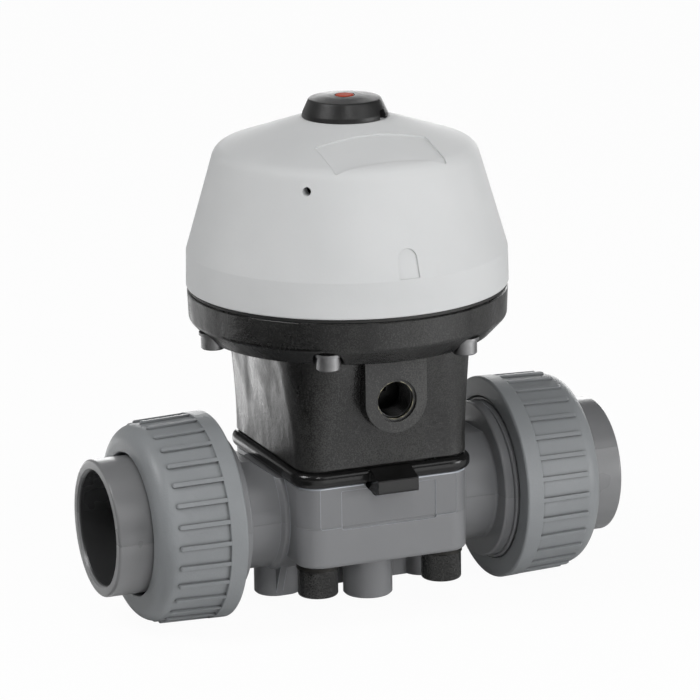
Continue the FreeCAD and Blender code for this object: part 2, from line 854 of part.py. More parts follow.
def body_washers():
    pieces = []
    for x, y in spots(bolt_x, bolt_y):
        pieces.append(tube(washer_r, bolt_r + 0.2, bolt_head_top, block_bottom, x, y))
    return Part.makeCompound(pieces)


def bolt_caps():
    pieces = []
    rim = bolt_head_top - 0.15
    for x, y in spots(bolt_x, bolt_y):
        cup = rod(cap_r, cap_bottom, rim, x, y)
        cup = cup.makeFillet(0.8, level_edges(cup, cap_bottom))
        pieces.append(cup.cut(rod(cap_r - cap_wall, cap_bottom + cap_floor, rim + 1, x, y)))
    return Part.makeCompound(pieces)


def cover_screws():
    pieces = []
    top = screw_seat_z - screw_washer
    low = top - screw_head_high
    for x, y in screw_spots():
        head = rod(screw_head_r, low, top, x, y)
        head = head.makeChamfer(0.4, level_edges(head, low))
        screw = fused([head, rod(screw_r, top - 1, screw_top, x, y)])
        pieces.append(screw.cut(hexagon(screw_key, low - 1, low + screw_key_depth, x, y)))
    return Part.makeCompound(pieces)


def cover_washers():
    pieces = []
    for x, y in screw_spots():
        pieces.append(tube(screw_washer_r, screw_r + 0.15, screw_seat_z - screw_washer, screw_seat_z, x, y))
    return Part.makeCompound(pieces)


# Union ends, nuts and seals
def union_end():
    stop = half_length - socket_depth
    points = [
        (end_start_x, bore_r, 0.5), (end_start_x, end_flange_r, 0.6), (end_back_x, end_flange_r, 0.6),
        (end_back_x, end_pipe_r, 1.0), (half_length, end_pipe_r, 0.9),
        (half_length, socket_r + 0.9), (half_length - 1.2, socket_r), (stop, socket_r), (stop, bore_r),
    ]
    return turned_x(points)


def rib_height(x):
    along = (x - nut_inner_x) / (nut_outer_x - nut_inner_x)
    return nut_rim_r - nut_draft * along


def nut_ribs():
    low = nut_rim_r - 4
    first = rib_start_x - 3
    envelope = turned_x([
        (first, low - 3), (first, rib_height(first) - 0.1),
        (rib_end_x, rib_height(rib_end_x) - 0.05, 1.0), (rib_end_x, low - 3),
    ])
    half = rib_wide / 2.0
    start = V(rib_start_x - 2, -half, low)
    end = V(rib_end_x - half, -half, low)
    tip = V(rib_end_x, 0, low)
    end2 = V(rib_end_x - half, half, low)
    start2 = V(rib_start_x - 2, half, low)
    edges = [
        Part.LineSegment(start, end).toShape(),
        Part.Arc(end, tip, end2).toShape(),
        Part.LineSegment(end2, start2).toShape(),
        Part.LineSegment(start2, start).toShape(),
    ]
    blank = Part.Face(Part.Wire(edges)).extrude(V(0, 0, 6)).common(envelope)
    ribs = []
    for i in range(rib_count):
        rib = blank.copy()
        rib.rotate(V(0, 0, 0), V(1, 0, 0), 360.0 / rib_count * (i + 0.5))
        ribs.append(rib)
    return ribs


def union_nut():
    inner_end = nut_outer_x - nut_wall
    low = rib_height(rib_start_x) - rib_high
    low_end = rib_height(rib_end_x) - rib_high
    points = [
        (nut_inner_x, nut_mouth_r), (nut_inner_x, nut_rim_r, nut_rim_round),
        (rib_start_x, rib_height(rib_start_x), 0.3), (rib_start_x + 0.3, low, 0.3),
        (nut_outer_x, low_end - 0.3, nut_end_round), (nut_outer_x, nut_hole_r, 0.6),
        (inner_end, nut_hole_r), (inner_end, nut_thread_r), (nut_inner_x + 0.3, nut_thread_r),
    ]
    return fused([turned_x(points)] + nut_ribs())


def union_seal():
    seal = ring(seal_r, seal_section_r, 0)
    seal.rotate(V(0, 0, 0), V(0, 1, 0), 90)
    seal.translate(V(face_x + 0.2 - seal_section_r, 0, 0))
    return seal


# Writing the pieces
def save(name, shape):
    lifted = shape.copy()
    lifted.translate(V(0, 0, axis_height))
    lifted.exportStep("parts/" + name + ".step")


def main():
    os.makedirs("parts", exist_ok=True)
    save("valve_body", valve_body())
    save("foot_inserts", foot_inserts())
    save("shutoff_diaphragm", shutoff_diaphragm())
    save("compressor", compressor())
    save("compressor_pin", compressor_pin())
    save("actuator_base", actuator_base())
    save("base_inserts", base_inserts())
    save("guide_bush", guide_bush())
    save("spindle_seals", spindle_seals())
    save("actuator_cover", actuator_cover())
    save("cover_inserts", cover_inserts())
    save("actuator_diaphragm", actuator_diaphragm())
    save("indicator_cap", indicator_cap())
    save("cap_seal", cap_seal())
    save("indicator_rod", indicator_rod())
    save("spindle", spindle())
    save("lower_plate", plate_low())
    save("upper_plate", plate_high())
    save("spindle_nut", spindle_nut())
    save("outer_spring", outer_spring())
    save("inner_spring", inner_spring())
    save("body_bolts", body_bolts())
    save("body_washers", body_washers())
    save("bolt_caps", bolt_caps())
    save("cover_screws", cover_screws())
    save("cover_washers", cover_washers())
    right_pieces = [("union_end", union_end()), ("union_nut", union_nut()), ("union_seal", union_seal())]
    for name, shape in right_pieces:
        save(name + "_right", shape)
        save(name + "_left", mirrored(shape))


main()
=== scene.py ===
# %% [markdown]
# A diaphragm valve with a round air actuator
#
# The valve sits in a plastic pipe line. A rubber diaphragm closes the pipe, an actuator under the pale
# dome lifts it with compressed air, and a nut at each end lets the valve be taken out of the line.
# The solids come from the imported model, in metres, with the pipe along X, the front towards -Y and Z up.
# This lesson dresses them: a finish for every solid, and the small shapes that the solids leave plain.

import json
import math

import bmesh
import bpy
from mathutils import Matrix, Vector


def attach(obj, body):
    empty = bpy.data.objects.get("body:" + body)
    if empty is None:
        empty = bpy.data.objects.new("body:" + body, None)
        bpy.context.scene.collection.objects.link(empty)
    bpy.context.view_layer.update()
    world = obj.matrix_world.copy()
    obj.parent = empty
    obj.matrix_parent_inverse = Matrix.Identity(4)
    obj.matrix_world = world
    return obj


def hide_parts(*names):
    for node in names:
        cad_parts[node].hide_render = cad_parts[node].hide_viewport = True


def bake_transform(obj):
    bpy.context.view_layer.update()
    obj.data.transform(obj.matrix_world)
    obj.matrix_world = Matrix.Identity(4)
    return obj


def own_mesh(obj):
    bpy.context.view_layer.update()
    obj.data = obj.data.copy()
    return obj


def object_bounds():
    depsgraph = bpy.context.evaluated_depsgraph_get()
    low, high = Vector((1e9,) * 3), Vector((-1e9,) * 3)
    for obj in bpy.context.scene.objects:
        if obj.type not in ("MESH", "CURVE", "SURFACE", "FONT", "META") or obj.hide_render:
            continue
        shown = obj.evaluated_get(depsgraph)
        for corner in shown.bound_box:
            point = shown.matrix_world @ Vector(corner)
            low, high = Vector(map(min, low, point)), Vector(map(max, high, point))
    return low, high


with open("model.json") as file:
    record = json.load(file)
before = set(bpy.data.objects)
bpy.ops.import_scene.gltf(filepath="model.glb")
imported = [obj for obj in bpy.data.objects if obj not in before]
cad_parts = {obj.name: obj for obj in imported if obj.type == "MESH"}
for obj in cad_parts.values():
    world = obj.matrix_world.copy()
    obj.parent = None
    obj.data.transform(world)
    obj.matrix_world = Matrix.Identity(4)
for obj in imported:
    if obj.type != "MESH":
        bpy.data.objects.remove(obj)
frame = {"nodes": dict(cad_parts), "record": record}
nodes = frame["nodes"]
solid_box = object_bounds()
print("solids:", len(nodes), "box:", [[round(v, 4) for v in corner] for corner in solid_box])

# %% [markdown]
# Sizes that the dressing needs
#
# A few sizes of the valve are used again and again, so they are named once, in metres. The lowest point is
# read from the solids' own box. The origin is on the plane of the feet, and the pipe runs above it.

# %% Sizes
mm = 0.001
pipe_z = 31.8 * mm
thread_pitch = 25.4 / 11 * mm
thread_core_r = 28.2 * mm
thread_high = 1.1 * mm
collar_start_x = 51.6 * mm
collar_end_x = 65.6 * mm
port_centre = Vector((0, -43.1 * mm, pipe_z + 45.6 * mm))
port_crest_r = 6.58 * mm
port_lip_r = 6.62 * mm
port_pitch = 25.4 / 19 * mm
port_depth = 14 * mm
pad_half_wide = 11.4 * mm
pad_high = 16.9 * mm
socket_r = 20.15 * mm
body_half_long = 32 * mm
body_top_z = pipe_z + 14.55 * mm
right_end_from_x = 60 * mm
soft_edge = 0.1 * mm
floor_gap = 0.05 * mm
lowest_z = min(corner[2] for corner in solid_box)
print("lowest point: %.4f m" % lowest_z)

# %% [markdown]
# The camera
#
# The photograph was taken from far away with a long lens, from the left of the front and a little above.
# The camera stands on that line. Its small roll is a turn about its own viewing axis, put on after
# to_track_quat has aimed it.

# %% Camera
camera_data = bpy.data.cameras.new("camera")
camera_data.lens = 215.24
camera_data.sensor_width = 36
camera_data.clip_start = 0.05
camera_data.clip_end = 20
camera = bpy.data.objects.new("camera", camera_data)
bpy.context.scene.collection.objects.link(camera)
camera_place = Vector((-543.333, -1325.448, 463.902)) * mm
camera_target = Vector((0.624, 0.0, 85.173)) * mm
camera_roll = math.radians(-0.846)
aim = (camera_target - camera_place).to_track_quat("-Z", "Y").to_matrix()
turn = Matrix.Rotation(camera_roll, 3, "Z")
camera.matrix_world = Matrix.Translation(camera_place) @ (aim @ turn).to_4x4()
bpy.context.scene.camera = camera
print("camera at", [round(v, 3) for v in camera_place])

# %% [markdown]
# Helpers for the stage
#
# The floor, and a dark card that comes after the lamps, belong to the picture and not to the valve. Both
# are flat sheets, so one function makes an object of a flat shape. Two more helpers serve the shaders: one
# places a Math node, the other mixes two shaders.

# %% Stage helpers
def math_node(tree, operation, first, second=None):
    # Each of the two values is a number or the socket that gives it
    node = tree.nodes.new("ShaderNodeMath")
    node.operation = operation
    for socket, value in zip(node.inputs, (first, second)):
        if value is None:
            continue
        if isinstance(value, (int, float)):
            socket.default_value = value
        else:
            tree.links.new(value, socket)
    return node.outputs[0]


def mix_shaders(tree, share, first, second):
    node = tree.nodes.new("ShaderNodeMixShader")
    for socket, value in zip(node.inputs, (share, first, second)):
        tree.links.new(value, socket)
    return node.outputs[0]


def flat_sheet(name, shape, material):
    mesh = bpy.data.meshes.new(name)
    shape.to_mesh(mesh)
    shape.free()
    mesh.materials.append(material)
    sheet = bpy.data.objects.new(name, mesh)
    bpy.context.scene.collection.objects.link(sheet)
    return sheet


# %% [markdown]
# Floor and light
#
# The valve stands on its two union nuts, which reach a little lower than the feet, so the floor lies
# there. A catalogue photograph has a white ground. The floor's shader lets the camera see it almost white
# while the light that it throws back at the valve stays that of plain pale paper. From below the camera
# looks through it, so the feet can be seen.

# %% Floor
def floor_material(paper_tone=0.88, white_share=0.96):
    material = bpy.data.materials.new("pale_floor")
    material.use_nodes = True
    tree = material.node_tree
    tree.nodes.clear()
    paper = tree.nodes.new("ShaderNodeBsdfDiffuse")
    paper.inputs["Color"].default_value = (paper_tone, paper_tone, paper_tone, 1)
    white = tree.nodes.new("ShaderNodeEmission")
    white.inputs["Strength"].default_value = 1.0
    clear = tree.nodes.new("ShaderNodeBsdfTransparent")
    rays = tree.nodes.new("ShaderNodeLightPath").outputs
    under_side = tree.nodes.new("ShaderNodeNewGeometry").outputs["Backfacing"]
    seen = math_node(tree, "MAXIMUM", rays["Is Camera Ray"], rays["Is Transmission Ray"])
    share = math_node(tree, "MULTIPLY", seen, white_share)
    ground = mix_shaders(tree, share, paper.outputs[0], white.outputs[0])
    from_below = math_node(tree, "MULTIPLY", under_side, rays["Is Camera Ray"])
    result = mix_shaders(tree, from_below, ground, clear.outputs[0])
    output = tree.nodes.new("ShaderNodeOutputMaterial")
    tree.links.new(result, output.inputs["Surface"])
    return material


floor_half_wide = 6.0
grid = bmesh.new()
bmesh.ops.create_grid(grid, x_segments=1, y_segments=1, size=floor_half_wide)
bmesh.ops.translate(grid, verts=grid.verts, vec=(0, 0, lowest_z - floor_gap))
floor = flat_sheet("floor", grid, floor_material())
print("floor at %.4f m" % (lowest_z - floor_gap))

# %% [markdown]
# The lamps are soft boxes on a ring around the valve, each placed by the direction it shines from. The
# angles are in degrees: the first goes round from the front to the right, the second is the height above
# the level of the floor. Some lamps are there only for the shine on the black plastics ("shine"), and some
# only for the even light on the greys ("matt"). Three sheets of light lie on the floor, where black faces
# that lean downwards see them.

# %% Lamps and world
def soft_box(name, place, aim_at, width, height, power, seen_by):
    data = bpy.data.lights.new(name, "AREA")
    data.shape = "RECTANGLE"
    data.size = width
    data.size_y = height
    data.energy = power
    lamp = bpy.data.objects.new(name, data)
    bpy.context.scene.collection.objects.link(lamp)
    lamp.location = place
    lamp.rotation_euler = (Vector(aim_at) - Vector(place)).to_track_quat("-Z", "Y").to_euler()
    lamp.visible_camera = False
    lamp.visible_diffuse = seen_by != "shine"
    lamp.visible_glossy = seen_by != "matt"


def on_ring(around, above, distance):
    around, above = math.radians(around), math.radians(above)
    level = distance * math.cos(above)
    return Vector((level * math.sin(around), -level * math.cos(around), distance * math.sin(above)))


lamps_aim_at = (0, 0, 0.08)
sheets_face_z = 2.0
sheet_lift = 2 * mm
for name, around, above, distance, width, height, power, seen_by in (
    ("front_right", 30, 35, 1.6, 0.8, 0.6, 2.4, "all"),
    ("front_even", 0, 22, 1.6, 0.7, 0.5, 5.0, "matt"),
    ("left_high", -88, 50, 1.5, 0.5, 0.5, 8.5, "all"),
    ("top", 0, 84, 1.3, 0.9, 0.7, 1.0, "all"),
    ("back_even", 165, 30, 1.7, 2.6, 1.4, 7.0, "matt"),
    ("top_even", -60, 70, 1.3, 0.9, 0.7, 0.6, "matt"),
    ("low_right", 45, 6, 1.6, 0.7, 0.5, 8.5, "all"),
    ("low_right_even", 45, 6, 1.6, 0.7, 0.5, 4.2, "matt"),
    ("small_front", -8, 50, 1.4, 0.14, 0.14, 2.3, "all"),
    ("shine_back_left", -157, 8, 1.6, 1.2, 0.6, 1.2, "shine"),
    ("shine_back_right", 150, 10, 1.6, 1.2, 0.6, 10.0, "shine"),
):
    soft_box(name, on_ring(around, above, distance), lamps_aim_at, width, height, power, seen_by)
for name, x, y, width, depth, power in (
    ("sheet_front_right", 0.27, -0.45, 0.55, 0.55, 0.8),
    ("sheet_left", -0.45, 0.3, 0.3, 0.4, 0.4),
    ("sheet_back_left", -0.11, 0.3, 0.11, 0.22, 0.2),
):
    place = (x, y, lowest_z + sheet_lift)
    soft_box(name, place, (x, y, sheets_face_z), width, depth, power, "shine")
world = bpy.data.worlds.new("studio")
bpy.context.scene.world = world
world.use_nodes = True
background = world.node_tree.nodes["Background"]
background.inputs["Color"].default_value = (1, 1, 1, 1)
background.inputs["Strength"].default_value = 0.06
bpy.context.scene.view_settings.view_transform = "Standard"

# %% [markdown]
# A dark card lies on the floor at the left of the front. Only shiny surfaces see it, and it gives the
# black plastics their depth there.

# %% Dark card
def dark_card(card_lift=1 * mm):
    corners = [
        (-0.07, -0.06),
        (-0.09, -0.13),
        (-0.24, -0.3),
        (-0.42, -0.2),
        (-0.42, 0.12),
        (-0.17, 0.14),
        (-0.13, 0.06),
    ]
    outline = bmesh.new()
    outline.faces.new([outline.verts.new((x, y, lowest_z + card_lift)) for x, y in corners])
    black = bpy.data.materials.new("dark_card")
    black.use_nodes = True
    shader = black.node_tree.nodes["Principled BSDF"]
    shader.inputs["Base Color"].default_value = (0.004, 0.004, 0.004, 1)
    shader.inputs["Roughness"].default_value = 1.0
    card = flat_sheet("dark_card", outline, black)
    card.visible_camera = False
    card.visible_diffuse = False
    card.visible_transmission = False
    card.visible_shadow = False


dark_card()
print("dark card laid")

# %% [markdown]
# Helpers for shaders
#
# Every finish is a Principled shader fed by small groups. A group is a shader tree of its own with named
# inputs and outputs; it is built once and placed in each material with that material's values. In Blender
# 4.5 its sockets are made on the tree's interface.

# %% Group helpers
def new_group(name, inputs, outputs):
    group = bpy.data.node_groups.new(name, "ShaderNodeTree")
    for label, value in inputs:
        socket = group.interface.new_socket(label, in_out="INPUT", socket_type="NodeSocketFloat")
        socket.default_value = value
    for label in outputs:
        group.interface.new_socket(label, in_out="OUTPUT", socket_type="NodeSocketFloat")
    entry = group.nodes.new("NodeGroupInput")
    leave = group.nodes.new("NodeGroupOutput")
    return group, entry, leave


def product(tree, first, second):
    return math_node(tree, "MULTIPLY", first, second)


def total(tree, first, second):
    return math_node(tree, "ADD", first, second)


def difference(tree, first, second):
    return math_node(tree, "SUBTRACT", first, second)


def size_of(tree, value):
    return math_node(tree, "ABSOLUTE", value)


def distance_from_axis(tree, first, second):
    squares = total(tree, product(tree, first, first), product(tree, second, second))
    return math_node(tree, "SQRT", squares)


def object_place(tree):
    return tree.nodes.new("ShaderNodeTexCoord").outputs["Object"]


def split_place(tree, place):
    node = tree.nodes.new("ShaderNodeSeparateXYZ")
    tree.links.new(place, node.inputs[0])
    return node.outputs


def spread(tree, value, low, high, to_low=0.0, to_high=1.0):
    node = tree.nodes.new("ShaderNodeMapRange")
    tree.links.new(value, node.inputs["Value"])
    node.inputs["From Min"].default_value = low
    node.inputs["From Max"].default_value = high
    node.inputs["To Min"].default_value = to_low
    node.inputs["To Max"].default_value = to_high
    return node.outputs["Result"]


# %% [markdown]
# Moulded skin
#
# Injection-moulded plastic is never quite even: it has faint clouds where the melt cooled at different
# speeds, and a fine grain from the tool. Two noises in Object coordinates give both, so the pattern
# stays on the piece when it moves.

# %% Moulded skin group
def build_moulded_skin():
    inputs = [("Clouds per metre", 40.0), ("Grain per metre", 1800.0)]
    group, entry, leave = new_group("moulded_skin", inputs, ["Clouds", "Grain"])
    place = object_place(group)
    for label, size, detail in (("Clouds", "Clouds per metre", 3.0), ("Grain", "Grain per metre", 2.0)):
        noise = group.nodes.new("ShaderNodeTexNoise")
        noise.inputs["Detail"].default_value = detail
        group.links.new(place, noise.inputs["Vector"])
        group.links.new(entry.outputs[size], noise.inputs["Scale"])
        group.links.new(spread(group, noise.outputs["Fac"], 0.3, 0.7), leave.inputs[label])
    return group


moulded_skin = build_moulded_skin()
print("group:", moulded_skin.name)

# %% [markdown]
# Flow marks
#
# The black actuator base is filled with glass fibre. The melt runs down from the flange and leaves long
# soft streaks, and the fibres glint as small specks. The streaks are a noise stretched along Z by a
# Mapping node, and the specks are the peaks of a fine noise.

# %% Flow marks group
def build_flow_marks():
    inputs = [("Streaks per metre", 55.0), ("Specks per metre", 1500.0)]
    group, entry, leave = new_group("flow_marks", inputs, ["Streaks", "Specks"])
    place = object_place(group)
    stretch = group.nodes.new("ShaderNodeMapping")
    stretch.inputs["Scale"].default_value = (1.0, 1.0, 0.45)
    group.links.new(place, stretch.inputs["Vector"])
    streaks = group.nodes.new("ShaderNodeTexNoise")
    streaks.inputs["Detail"].default_value = 4.0
    streaks.inputs["Distortion"].default_value = 0.6
    group.links.new(stretch.outputs[0], streaks.inputs["Vector"])
    group.links.new(entry.outputs["Streaks per metre"], streaks.inputs["Scale"])
    group.links.new(spread(group, streaks.outputs["Fac"], 0.4, 0.62), leave.inputs["Streaks"])
    specks = group.nodes.new("ShaderNodeTexNoise")
    specks.inputs["Detail"].default_value = 1.0
    group.links.new(place, specks.inputs["Vector"])
    group.links.new(entry.outputs["Specks per metre"], specks.inputs["Scale"])
    group.links.new(spread(group, specks.outputs["Fac"], 0.52, 0.72), leave.inputs["Specks"])
    return group


flow_marks = build_flow_marks()
print("group:", flow_marks.name)

# %% [markdown]
# Parting line
#
# Where the two halves of a mould meet, a hair-thin ridge stays on the piece. The group also gives a mask of
# the part below the line, where a painted highlight lightens the colour. The group compares the height of a
# point with the height of that line. The right union end is turned about the pipe axis, so its line is
# tilted by the angle whose sine is given.

# %% Parting line group
def build_parting_line():
    inputs = [
        ("Line height", pipe_z),
        ("Half width", 0.16 * mm),
        ("Half length", 1.0),
        ("Right end sine", 0.0),
    ]
    group, entry, leave = new_group("parting_line", inputs, ["Ridge", "Painted sheen below"])
    along, across, up = split_place(group, object_place(group))
    at_right = math_node(group, "GREATER_THAN", along, right_end_from_x)
    sine = product(group, at_right, entry.outputs["Right end sine"])
    cosine = math_node(group, "SQRT", difference(group, 1.0, product(group, sine, sine)))
    height = difference(group, up, entry.outputs["Line height"])
    above = total(group, product(group, height, cosine), product(group, across, sine))
    away = math_node(group, "DIVIDE", size_of(group, above), entry.outputs["Half width"])
    past_end = difference(group, size_of(group, along), entry.outputs["Half length"])
    near_line = spread(group, away, 1.0, 0.0)
    on_line = product(group, near_line, spread(group, past_end, 2 * soft_edge, 0.0))
    group.links.new(on_line, leave.inputs["Ridge"])
    # Below the line this mask lifts the colour: a painted highlight.
    group.links.new(spread(group, above, soft_edge, -soft_edge), leave.inputs["Painted sheen below"])
    return group


parting_line = build_parting_line()
print("group:", parting_line.name)

# %% [markdown]
# Zones round the air port
#
# The flat pad of the air port is matt and a little paler than the base round it. The thread inside is
# painted deep black as shade, and the lip of the hole has a painted pale highlight line that breaks off
# here and there. The group measures how far a point is from the port's axis and how deep it lies.

# %% Port zones group
def build_port_zones():
    inputs = [("Lip radius", port_lip_r)]
    group, entry, leave = new_group("port_zones", inputs, ["Pad", "Inside", "Lip"])
    face_deep = 0.15 * mm
    wall_r = port_lip_r + 0.4 * mm
    black_from = 0.9 * mm
    black_full = 1.6 * mm
    black_end = port_depth + 4 * mm
    end_fade = 2 * mm
    lip_half_wide = 0.1 * mm
    lip_deep = 1.2 * mm
    breaks_per_metre = 320.0
    place = object_place(group)
    shift = group.nodes.new("ShaderNodeVectorMath")
    shift.operation = "SUBTRACT"
    shift.inputs[1].default_value = port_centre
    group.links.new(place, shift.inputs[0])
    across, deep, up = split_place(group, shift.outputs[0])
    radius = distance_from_axis(group, across, up)
    near_face = spread(group, size_of(group, deep), face_deep + soft_edge, face_deep)
    pad_wide = spread(group, size_of(group, across), pad_half_wide + soft_edge, pad_half_wide)
    pad_tall = spread(group, up, pad_high + soft_edge, pad_high)
    pad = product(group, near_face, product(group, pad_wide, pad_tall))
    group.links.new(pad, leave.inputs["Pad"])
    # Deep in the hole the colour is painted near black: a painted shade.
    in_hole = spread(group, radius, wall_r + soft_edge, wall_r)
    past_lip = spread(group, deep, black_from, black_full)
    before_end = spread(group, deep, black_end + end_fade, black_end)
    inside = product(group, in_hole, product(group, past_lip, before_end))
    group.links.new(inside, leave.inputs["Inside"])
    # The lip gets a painted highlight line, broken up by a noise.
    off_lip = size_of(group, difference(group, radius, entry.outputs["Lip radius"]))
    on_lip = spread(group, off_lip, lip_half_wide + soft_edge, lip_half_wide)
    breaks = group.nodes.new("ShaderNodeTexNoise")
    breaks.inputs["Scale"].default_value = breaks_per_metre
    group.links.new(place, breaks.inputs["Vector"])
    shallow = spread(group, size_of(group, deep), lip_deep + 2 * soft_edge, lip_deep)
    lip_glint = product(group, spread(group, breaks.outputs["Fac"], 0.4, 0.6), shallow)
    group.links.new(product(group, on_lip, lip_glint), leave.inputs["Lip"])
    return group


port_zones = build_port_zones()
print("group:", port_zones.name)

# %% [markdown]
# Making a material
#
# A few functions set up what all the finishes share: a colour that drifts between two near shades, a
# roughness that follows the same clouds, the grain as a bump, and a Bevel node that lets the sharp edges of
# the solids catch light as rounded ones do. Numbers that are the same all over go straight on the shader's
# own sockets.

# %% Material maker
def shader_of(name, roughness, metallic=0.0, specular=0.5):
    material = bpy.data.materials.new(name)
    material.use_nodes = True
    tree = material.node_tree
    shader = tree.nodes["Principled BSDF"]
    shader.inputs["Roughness"].default_value = roughness
    shader.inputs["Metallic"].default_value = metallic
    shader.inputs["Specular IOR Level"].default_value = specular
    return material, tree, shader


def place_group(tree, group, **values):
    node = tree.nodes.new("ShaderNodeGroup")
    node.node_tree = group
    for label, value in values.items():
        node.inputs[label.replace("_", " ")].default_value = value
    return node


def blend_to(tree, mask, colour, other):
    # Each of the two colours is a tuple of four numbers or the socket that gives it
    node = tree.nodes.new("ShaderNodeMix")
    node.data_type = "RGBA"
    tree.links.new(mask, node.inputs["Factor"])
    for label, value in (("A", colour), ("B", other)):
        if isinstance(value, tuple):
            node.inputs[label].default_value = value
        else:
            tree.links.new(value, node.inputs[label])
    return node.outputs["Result"]


def two_shades(tree, mask, dark, light):
    return blend_to(tree, mask, (*dark, 1), (*light, 1))


def shadowed(colour, share=0.3):
    return (*[share * part for part in colour], 1)


def surface(tree, shader, height, distance, edge_radius):
    bump = tree.nodes.new("ShaderNodeBump")
    bump.inputs["Strength"].default_value = 1.0
    bump.inputs["Distance"].default_value = distance
    tree.links.new(height, bump.inputs["Height"])
    edge = tree.nodes.new("ShaderNodeBevel")
    edge.samples = 4
    edge.inputs["Radius"].default_value = edge_radius
    tree.links.new(edge.outputs[0], bump.inputs["Normal"])
    tree.links.new(bump.outputs[0], shader.inputs["Normal"])


# %% [markdown]
# Sharp edges get a painted highlight: near them the colour turns paler, as where an edge catches light. A
# Bevel node's normal leaves the real one only near an edge, so the difference of the two is a mask for it.
# A painted highlight line of the same pale colour runs along the top of the body's block at the given
# level.

# %% Painted edge highlights
def painted_edge_highlights(tree, colour, radius, level):
    flat_above = 0.985
    edge_below = 0.87
    strongest = 0.5
    rounded = tree.nodes.new("ShaderNodeBevel")
    rounded.samples = 8
    rounded.inputs["Radius"].default_value = radius
    flat = tree.nodes.new("ShaderNodeNewGeometry")
    same = tree.nodes.new("ShaderNodeVectorMath")
    same.operation = "DOT_PRODUCT"
    tree.links.new(rounded.outputs[0], same.inputs[0])
    tree.links.new(flat.outputs["Normal"], same.inputs[1])
    mask = spread(tree, same.outputs["Value"], flat_above, edge_below, 0.0, strongest)
    painted_line_mask = place_group(
        tree, parting_line, Line_height=level, Half_width=0.34 * mm, Half_length=body_half_long
    )
    mask = math_node(tree, "MAXIMUM", mask, painted_line_mask.outputs["Ridge"])
    # The edges and the line are painted pale: a painted highlight.
    return blend_to(tree, mask, colour, (0.62, 0.66, 0.72, 1))


# %% [markdown]
# The creases beside the ribs of the nuts get painted shade, and the wall inside a socket is painted darker
# than the wall outside, as shade. An Ambient Occlusion node finds the first, and the distance from the pipe
# axis the second.

# %% Painted shade in creases and bores
def painted_crease_shade(tree, colour, reach, dark):
    open_above = 0.9
    crease_below = 0.45
    strongest = 0.85
    hollow = tree.nodes.new("ShaderNodeAmbientOcclusion")
    hollow.samples = 6
    hollow.only_local = True
    hollow.inputs["Distance"].default_value = reach
    mask = spread(tree, hollow.outputs["AO"], open_above, crease_below, 0.0, strongest)
    # In the creases the colour goes towards a third of the dark shade: a painted shade.
    return blend_to(tree, mask, colour, shadowed(dark))


def painted_bore_shade(tree, colour, radius, dark):
    wall_r = radius + 0.25 * mm
    fade = 0.15 * mm
    parts = split_place(tree, object_place(tree))
    from_pipe = distance_from_axis(tree, parts["Y"], difference(tree, parts["Z"], pipe_z))
    mask = spread(tree, from_pipe, wall_r + fade, wall_r)
    # Inside the socket the colour goes towards a third of the dark shade: a painted shade.
    return blend_to(tree, mask, colour, shadowed(dark))


# %% [markdown]
# Grey moulded plastics
#
# The body, the nuts, the union ends and the dome are all grey mouldings, but not the same grey: the dome is
# pale and matt, the body and nuts are mid grey with a silky skin, and the union ends are darker and
# smoother. The body and the union ends also show their parting line at the height of the pipe axis, and
# below it their colour is lifted by a painted highlight.

# %% Grey plastics
def moulded(
    name,
    dark,
    light,
    rough,
    clouds=40.0,
    grain=1800.0,
    depth=0.012 * mm,
    edge=0.35 * mm,
    line=False,
    right_end_sine=0.0,
    crease_shade_reach=0.0,
    shaded_bore_r=0.0,
    edge_highlight_radius=0.0,
    painted_line_height=0.0,
    specular=0.5,
):
    material, tree, shader = shader_of(name, rough[0], specular=specular)
    skin = place_group(tree, moulded_skin, Clouds_per_metre=clouds, Grain_per_metre=grain)
    shade = skin.outputs["Clouds"]
    height = skin.outputs["Grain"]
    if line:
        # Below the parting line the colour is pushed towards the light shade: a painted highlight.
        painted_sheen_share = 0.6
        ridge_high = 9.0
        seam = place_group(tree, parting_line, Right_end_sine=right_end_sine)
        lower = product(tree, seam.outputs["Painted sheen below"], painted_sheen_share)
        shade = total(tree, product(tree, shade, 1 - painted_sheen_share), lower)
        height = total(tree, height, product(tree, seam.outputs["Ridge"], ridge_high))
    colour = two_shades(tree, shade, dark, light)
    # The body's sharp edges and the line along its block's top get a painted highlight.
    if edge_highlight_radius > 0:
        colour = painted_edge_highlights(tree, colour, edge_highlight_radius, painted_line_height)
    # The nuts get painted shade in their creases.
    if crease_shade_reach > 0:
        colour = painted_crease_shade(tree, colour, crease_shade_reach, dark)
    # The union ends get painted shade on the wall inside their sockets.
    if shaded_bore_r > 0:
        colour = painted_bore_shade(tree, colour, shaded_bore_r, dark)
    tree.links.new(colour, shader.inputs["Base Color"])
    tree.links.new(spread(tree, skin.outputs["Clouds"], 0.0, 1.0, *rough), shader.inputs["Roughness"])
    surface(tree, shader, height, depth, edge)
    return material


finishes = {}
finishes["cover_grey"] = moulded(
    "cover_grey",
    (0.575, 0.584, 0.587),
    (0.625, 0.632, 0.635),
    (0.5, 0.58),
    clouds=22.0,
    grain=1400.0,
    specular=0.22,
)
finishes["body_grey"] = moulded(
    "body_grey",
    (0.172, 0.175, 0.182),
    (0.2, 0.203, 0.21),
    (0.3, 0.38),
    line=True,
    edge_highlight_radius=0.4 * mm,
    painted_line_height=body_top_z,
)
finishes["nut_grey"] = moulded(
    "nut_grey",
    (0.215, 0.226, 0.234),
    (0.25, 0.262, 0.271),
    (0.38, 0.48),
    grain=1200.0,
    depth=0.03 * mm,
    edge=0.2 * mm,
    crease_shade_reach=1.3 * mm,
)
finishes["end_grey"] = moulded(
    "end_grey",
    (0.16, 0.162, 0.166),
    (0.23, 0.232, 0.237),
    (0.26, 0.34),
    depth=0.008 * mm,
    line=True,
    right_end_sine=0.48,
    shaded_bore_r=socket_r,
)
print("grey finishes:", sorted(finishes))

